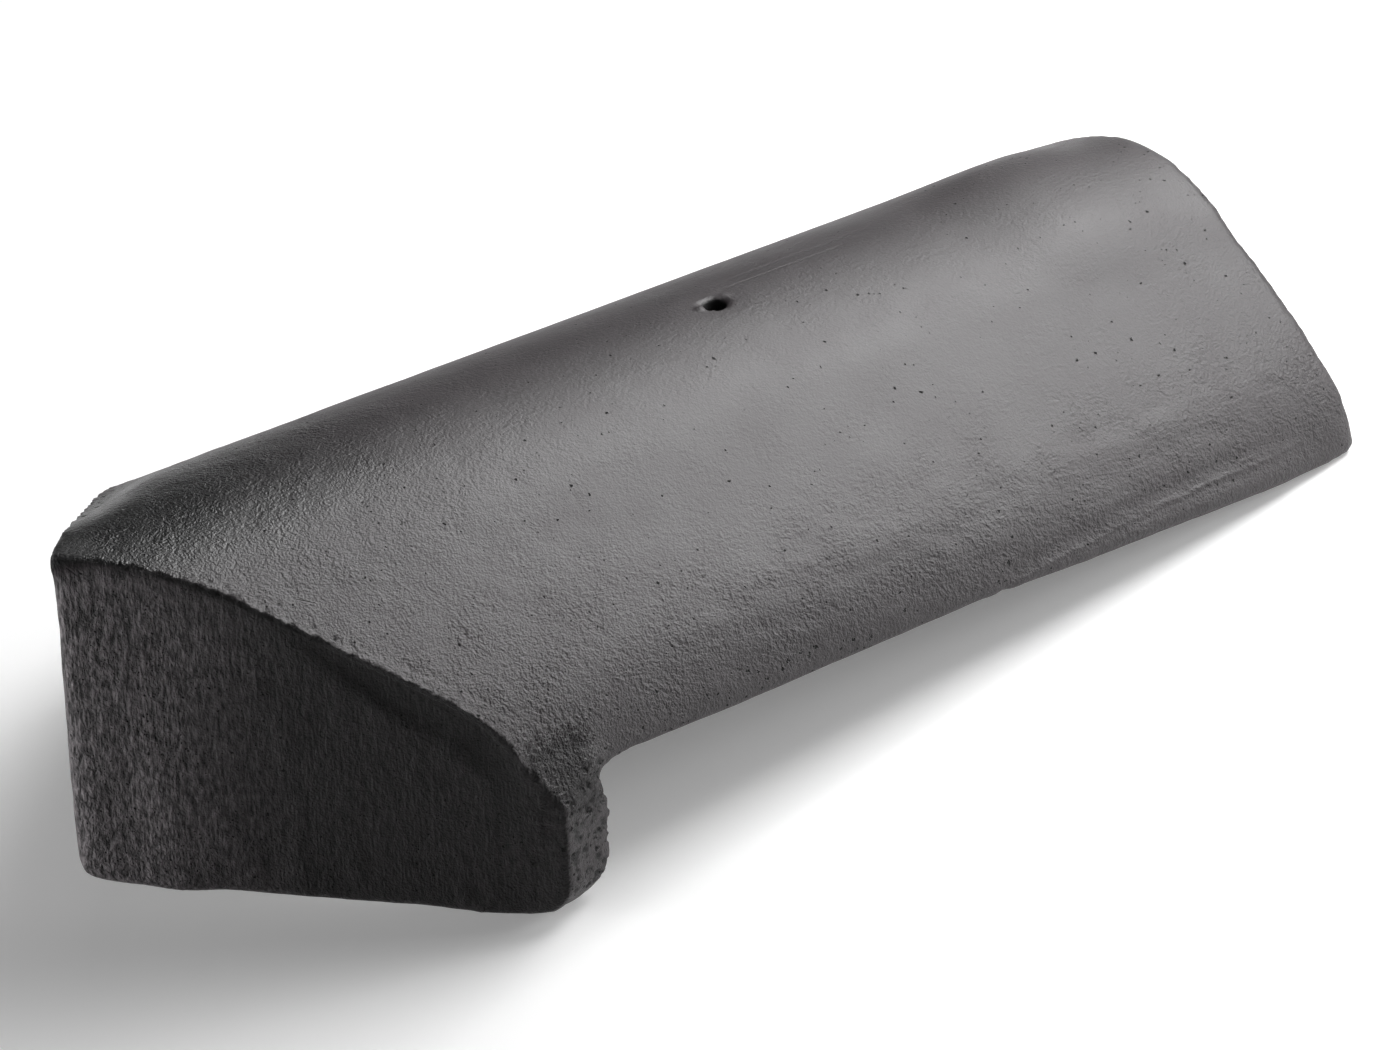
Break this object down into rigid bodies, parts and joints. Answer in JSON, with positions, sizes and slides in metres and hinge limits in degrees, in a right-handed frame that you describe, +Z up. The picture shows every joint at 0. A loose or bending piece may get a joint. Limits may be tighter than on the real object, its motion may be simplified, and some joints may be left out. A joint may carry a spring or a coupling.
{
  "type": "hip end tile",
  "caption": "Barrel shaped concrete hip end tile with a V shaped prow closing its lower end and a nail hole through the crown.",
  "frame": {"origin": "middle of the tile's box in X and Y, on the floor that it lies on at rest", "axes": "+X from the prow to the far end, +Y to the side, +Z up; at rest the crown slopes down towards +X"},
  "size_m": [0.4628, 0.243, 0.143],
  "materials": {
    "coated_concrete": "satin dark grey coating with fine pores over cast concrete"
  },
  "bodies": {
    "root": {"hip_end_tile": "coated_concrete"}
  },
  "joints": []
}
